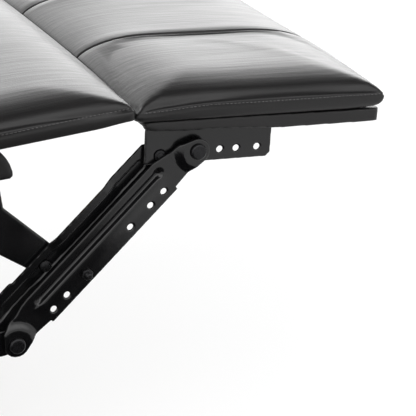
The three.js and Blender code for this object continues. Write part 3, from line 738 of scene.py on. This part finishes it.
# ---------- pressed links ----------
ALONG = np.array((math.cos(LINK_ANGLE), 0, math.sin(LINK_ANGLE)))
ASIDE = np.array((-math.sin(LINK_ANGLE), 0, math.cos(LINK_ANGLE)))
JOGGLE = 4 * MM  # of the outer link's flat ends, inwards
JOGGLE_START = 22 * MM  # of the flat middle, from either pivot
JOGGLE_RUN = 7 * MM
ROUND_STEP = (15 * MM, 24 * MM)  # radii of the round stand at either pivot
RIB_PRESS = 2.0 * MM
GROOVE_PRESS = 2.4 * MM
GROOVE_ASIDE = 14 * MM  # from the line between the pivots
GROOVE_WIDTH = 3.0 * MM
INNER_PRESS = 3.2 * MM


def pressed(name, node, body, sign, origin, press):
    """A stamped plate as an even skin, with its ribs and steps pressed out of the sheet."""
    made = remeshed(name, frame["nodes"][node], 0.8 * MM, 2)
    points = points_of(made)
    local = points - np.array(origin)
    points[:, 1] += sign * press(local @ ALONG, local @ ASIDE)
    set_points(made, points)
    belong(finish_mesh(made, PAINT, 50), body, node)


def outer_press(along, aside):
    """Outward press of the outer link: a long rib beside its groove, and a round step at its ends."""
    window = within(34 * MM, 48 * MM, LINK_LENGTH - 50 * MM, LINK_LENGTH - 36 * MM, along)
    rib = within(-5 * MM, 8 * MM, 10.2 * MM, 12.2 * MM, aside)
    groove = within(44 * MM, 50 * MM, LINK_LENGTH - 44 * MM, LINK_LENGTH - 39 * MM, along)
    press = RIB_PRESS * window * rib
    press -= GROOVE_PRESS * groove * np.exp(-(((aside - GROOVE_ASIDE) / GROOVE_WIDTH) ** 2))
    for distance in (along, LINK_LENGTH - along):
        straight = smoothline(JOGGLE_START, JOGGLE_START - JOGGLE_RUN, distance)
        around = 1 - smoothstep(*ROUND_STEP, np.hypot(distance, aside))
        press += JOGGLE * (around - straight)
    return press


def inner_press(along, aside):
    """The inner link's upper edge stands proud of the sheet that slopes in towards its lower edge.
    Below the middle rivet the lower edge is pressed in, clear of the front link, and above it the
    upper edge is pressed out, clear of the bent link. It lies flat at its ends and at the rivet."""
    slope = smoothline(-3 * MM, 12.5 * MM, aside)
    below = within(38 * MM, 54 * MM, MIDDLE_RIVET - 28 * MM, MIDDLE_RIVET - 14 * MM, along)
    above = within(
        MIDDLE_RIVET + 16 * MM, MIDDLE_RIVET + 30 * MM, LINK_LENGTH - 62 * MM, LINK_LENGTH - 48 * MM, along
    )
    return INNER_PRESS * (above * slope - below * (1 - slope))


def rolled_plate(name, node, body):
    """A stamped plate as an even skin, its sheared edges rolled over under the paint."""
    made = remeshed(name, frame["nodes"][node], 0.9 * MM, 3)
    belong(finish_mesh(made, PAINT, 50), body, node)


for side, sign in SIDES:
    pressed(f"outer_link_pressed_{side}", f"outer_link_{side}", "outer_links", sign, lower_pivot, outer_press)
    pressed(f"inner_link_pressed_{side}", f"inner_link_{side}", "inner_links", sign, inner_pivot, inner_press)
    rolled_plate(f"bracket_plate_{side}", f"angle_bracket_{side}", "leg_rest")
    rolled_plate(f"bent_plate_{side}", f"bent_link_{side}", "bent_links")
    rolled_plate(f"front_plate_{side}", f"front_link_{side}", "front_links")


# ---------- rivets and studs ----------
ROUND_SIDES = 40
HEAD_STEPS = ((5.6, 0), (5.6, 1.1), (3.7, 1.3), (3.4, 2.3), (0, 2.3))  # mm: radius, and over the plate
NUT_TURN = 0.3  # radians
STUD_REACH, NUT_REACH = 9 * MM, 10.7 * MM  # from the tip back to the thread's and the nut's start
THREAD_RADIUS, THREAD_DEPTH, THREAD_PITCH = 3.0 * MM, 0.55 * MM, 1.2 * MM


def turned(name, node, body, edge, shape=None):
    """A turned piece made round: the rings of its CAD solid, revolved finely, its edges rolled over."""
    points = np.array([v.co for v in frame["nodes"][node].data.vertices])
    centre = (points.min(0) + points.max(0)) / 2
    radii = np.hypot(points[:, 0] - centre[0], points[:, 2] - centre[2])
    rings = {}
    for radius, y in zip(radii, points[:, 1]):
        rings.setdefault(round(y / MM, 2), set()).add(round(radius / MM, 1))
    profile, last = [], 0.0
    for y in sorted(rings):
        levels = sorted(rings[y], key=lambda radius: abs(radius - last))
        for radius in levels[:2]:
            profile.append((radius * MM, y * MM))
        last = levels[:2][-1]
    if shape:
        profile = shape(profile)
    belong(revolved(name, profile, centre, edge), body, node)


def revolved(name, profile, centre, edge):
    """A closed body of rings about a line along Y through a centre."""
    sides = ROUND_SIDES
    vertices, faces = [], []
    rings = [(radius, y) for radius, y in profile if radius > 0.01 * MM]
    for radius, y in rings:
        for k in range(sides):
            angle = 2 * math.pi * k / sides
            vertices.append((centre[0] + radius * math.cos(angle), y, centre[2] + radius * math.sin(angle)))
    for ring in range(len(rings) - 1):
        for k in range(sides):
            p, q = ring * sides + k, ring * sides + (k + 1) % sides
            faces.append((p, q, q + sides, p + sides))
    faces.append(tuple(range(sides)))
    faces.append(tuple(range((len(rings) - 1) * sides, len(rings) * sides)))
    made = new_object(name, vertices, faces, ZINC, 50)
    rolled = made.modifiers.new("edge", "BEVEL")
    rolled.width = edge
    rolled.segments = 4
    rolled.limit_method = "ANGLE"
    rolled.angle_limit = math.radians(28)
    apply_all(made)
    return finish_mesh(made, ZINC, 50)


def upset_head(sign):
    """Gives a small rivet's outer end a low collar, with the upset end of the shank standing on it."""

    def shape(profile):
        outward = profile if sign > 0 else profile[::-1]
        kept, surface = outward[:-4], outward[-4][1]
        head = [(radius * MM, surface + sign * out * MM) for radius, out in HEAD_STEPS]
        return (kept + head) if sign > 0 else (kept + head)[::-1]

    return shape


def link_stud(node, body, sign):
    """A rolled thread with a hexagon nut on it, and its flat head behind the link."""
    points = np.array([v.co for v in frame["nodes"][node].data.vertices])
    low, high = points.min(0), points.max(0)
    centre = (low + high) / 2
    tip, head = (high[1], low[1]) if sign > 0 else (low[1], high[1])
    head_radius, head_top = 6 * MM, head + sign * 1.8 * MM
    profile = [(0, head), (head_radius, head), (head_radius, head_top), (THREAD_RADIUS, head_top)]
    y = tip - sign * STUD_REACH
    while abs(tip - y) > 1.4 * THREAD_PITCH:
        profile += [(THREAD_RADIUS, y), (THREAD_RADIUS - THREAD_DEPTH, y + sign * THREAD_PITCH / 2)]
        y += sign * THREAD_PITCH
    profile += [(THREAD_RADIUS, y), (THREAD_RADIUS - 0.9 * MM, tip), (0, tip)]
    shank = revolved(node + "_thread", profile, centre, 0.12 * MM)
    across, thick, chamfer = 6.1 * MM, 5 * MM, 0.8 * MM
    base = tip - sign * NUT_REACH
    vertices, faces = [], []
    for reach, out in ((across, 0), (across, thick - chamfer), (across - chamfer, thick)):
        for k in range(6):
            angle = math.pi / 3 * k + NUT_TURN
            x, z = centre[0] + reach * math.cos(angle), centre[2] + reach * math.sin(angle)
            vertices.append((x, base + sign * out, z))
    for ring in range(2):
        for k in range(6):
            p, q = ring * 6 + k, ring * 6 + (k + 1) % 6
            faces.append((p, q, q + 6, p + 6))
    faces += [tuple(range(6)), tuple(range(12, 18))]
    nut = new_object(node + "_nut", vertices, faces, ZINC, 20)
    rolled = nut.modifiers.new("edge", "BEVEL")
    rolled.width, rolled.segments = 0.3 * MM, 2
    apply_all(nut)
    finish_mesh(nut, ZINC, 50)
    belong(shank, body, node)
    belong(nut, body)


def round_pieces():
    """Every rivet and stud, on the body that its CAD node is on."""
    for body, nodes in frame["record"]["behaviour"]["bodies"].items():
        for node in nodes:
            sign = RIGHT if node.endswith("right") else LEFT
            if "rivet" in node:
                small = node.startswith(("middle", "inner_link_top"))
                turned(node + "_set", node, body, 0.7 * MM, upset_head(sign) if small else None)
            elif "stud" in node:
                link_stud(node, body, sign)


round_pieces()



# ---------- finishes of the pieces that stay as they are ----------
FINISHES = {
    "painted_steel": PAINT,
    "rivet_steel": ZINC,
    "frame_steel": POWDER,
    "plywood": PLYWOOD,
    "nylon": NYLON,
}


def dress(node, material, bevel):
    """Gives a CAD piece its finish, and rounds its edges over."""
    made = frame["nodes"][node]
    made.data.materials.clear()
    made.data.materials.append(material)
    weld = made.modifiers.new("weld", "WELD")
    weld.merge_threshold = 0.01 * MM
    edge = made.modifiers.new("edge", "BEVEL")
    edge.width = bevel
    edge.segments = 2
    edge.limit_method = "ANGLE"
    edge.angle_limit = math.radians(35)
    edge.harden_normals = True
    made.data.shade_smooth()


BEVELS = {"frame_steel": 1.2 * MM, "plywood": 0.6 * MM, "nylon": 0.8 * MM}
for part in frame["record"]["subparts"]:
    if not frame["nodes"][part["node"]].hide_render:
        slot = part["material_slot"]
        dress(part["node"], FINISHES[slot], BEVELS.get(slot, 0.45 * MM))

# ---------- studio ----------
def floor():
    """A pale seamless floor, lit from within so that shadows on it stay faint."""
    material, tree = new_material("pale_floor")
    where = add_node(tree, "ShaderNodeTexCoord").outputs["Object"]
    patches = add_node(tree, "ShaderNodeTexNoise", {"Scale": 3.0, "Detail": 2.0}, {"Vector": where})
    base = blend_colours(tree, patches.outputs[0], "8c8c8c", "909090")
    shader = add_node(
        tree,
        "ShaderNodeBsdfPrincipled",
        {"Roughness": 0.9, "Emission Color": colour("ffffff"), "Emission Strength": 0.68},
        {"Base Color": base},
    )
    close_material(tree, shader)
    sides, reach = 48, 60
    turn = 2 * math.pi / sides
    ring = [(reach * math.cos(turn * k), reach * math.sin(turn * k), 0) for k in range(sides)]
    new_object("floor", ring, [tuple(range(sides))], material)


def painted_floor_shadow():
    """A black card on the floor in front, seen only as a reflection: painted shadow that stands in for the chair's
    own shadow on the floor in front, and gives the plates contrast.
    """
    material, tree = new_material("painted_shadow_card")
    close_material(tree, add_node(tree, "ShaderNodeBsdfDiffuse", {"Color": colour("050505")}))
    x0, x1, y0, y1, z = -0.9, 0.35, -1.35, -0.25, 0.004
    corners = [(x0, y0, z), (x1, y0, z), (x1, y1, z), (x0, y1, z)]
    card = new_object("painted_floor_shadow", corners, [(0, 1, 2, 3)], material)
    # Only glossy rays see the card: it paints the floor's shade into the reflections in the plates.
    card.visible_camera = card.visible_shadow = card.visible_diffuse = False


def rear_light():
    """A wide soft box behind the leg rest, which draws the sheen on the tops of the cushions."""
    lamp = bpy.data.lights.new("rear_light", "AREA")
    lamp.shape = "RECTANGLE"
    lamp.size, lamp.size_y = 3.2, 1.2
    lamp.energy = 42
    made = bpy.data.objects.new("rear_light", lamp)
    made.location = (1.4, 2.8, 1.0)
    target = Vector((0, 0, 0.4))
    made.rotation_euler = (target - made.location).to_track_quat("-Z", "Y").to_euler()
    made.visible_camera = False
    bpy.context.scene.collection.objects.link(made)


# Brightness of the room by the angle over the rear horizon: 0 is there, 1 is the front horizon.
ROOM = (
    (0.0, 0.95),
    (0.13, 0.85),
    (0.25, 0.16),
    (0.34, 0.04),
    (0.54, 0.04),
    (0.615, 0.52),
    (0.73, 0.92),
    (0.9, 0.35),
    (1.0, 0.33),
)


def studio():
    """A white room whose rear wall and front wall are lit and whose ceiling is dark."""
    world = bpy.data.worlds.new("studio")
    world.use_nodes = True
    tree = world.node_tree
    tree.nodes.clear()
    way = add_node(tree, "ShaderNodeTexCoord").outputs["Generated"]
    axes = add_node(tree, "ShaderNodeSeparateXYZ", links={0: way})
    angle = add_node(
        tree, "ShaderNodeMath", links={0: axes.outputs["Z"], 1: axes.outputs["Y"]}, operation="ARCTAN2"
    )
    share = add_node(tree, "ShaderNodeMath", {1: math.pi}, {0: angle.outputs[0]}, operation="DIVIDE")
    ramp = add_node(tree, "ShaderNodeValToRGB", links={0: share.outputs[0]})
    ramp.color_ramp.interpolation = "EASE"
    elements = ramp.color_ramp.elements
    while len(elements) < len(ROOM):
        elements.new(0.5)
    for element, (place_at, level) in zip(elements, ROOM):
        element.position = place_at
        element.color = (level, level, level, 1)
    light = add_node(tree, "ShaderNodeBackground", {"Strength": 3.0}, {"Color": ramp.outputs[0]})
    add_node(tree, "ShaderNodeOutputWorld", links={"Surface": light.outputs[0]})
    bpy.context.scene.world = world


def camera():
    """Looks down on the right front corner of the leg rest, over the linkage."""
    target = leg_pivot + Vector((14.5, -245.5, -65)) * MM
    away, width_seen = 2.0, 0.416
    azimuth, elevation = math.radians(23.24), math.radians(21.4)
    level = Vector((-math.sin(azimuth), -math.cos(azimuth), 0))
    back = level * math.cos(elevation) + Vector((0, 0, math.sin(elevation)))
    data = bpy.data.cameras.new("camera")
    data.sensor_width = 36
    data.lens = data.sensor_width * away / width_seen
    data.clip_start, data.clip_end = 0.05, 100
    made = bpy.data.objects.new("camera", data)
    made.location = target + back * away
    made.rotation_euler = (-back).to_track_quat("-Z", "Y").to_euler()
    bpy.context.scene.collection.objects.link(made)
    bpy.context.scene.camera = made


floor()
painted_floor_shadow()
studio()
rear_light()
camera()
bpy.context.scene.view_settings.view_transform = "Standard"
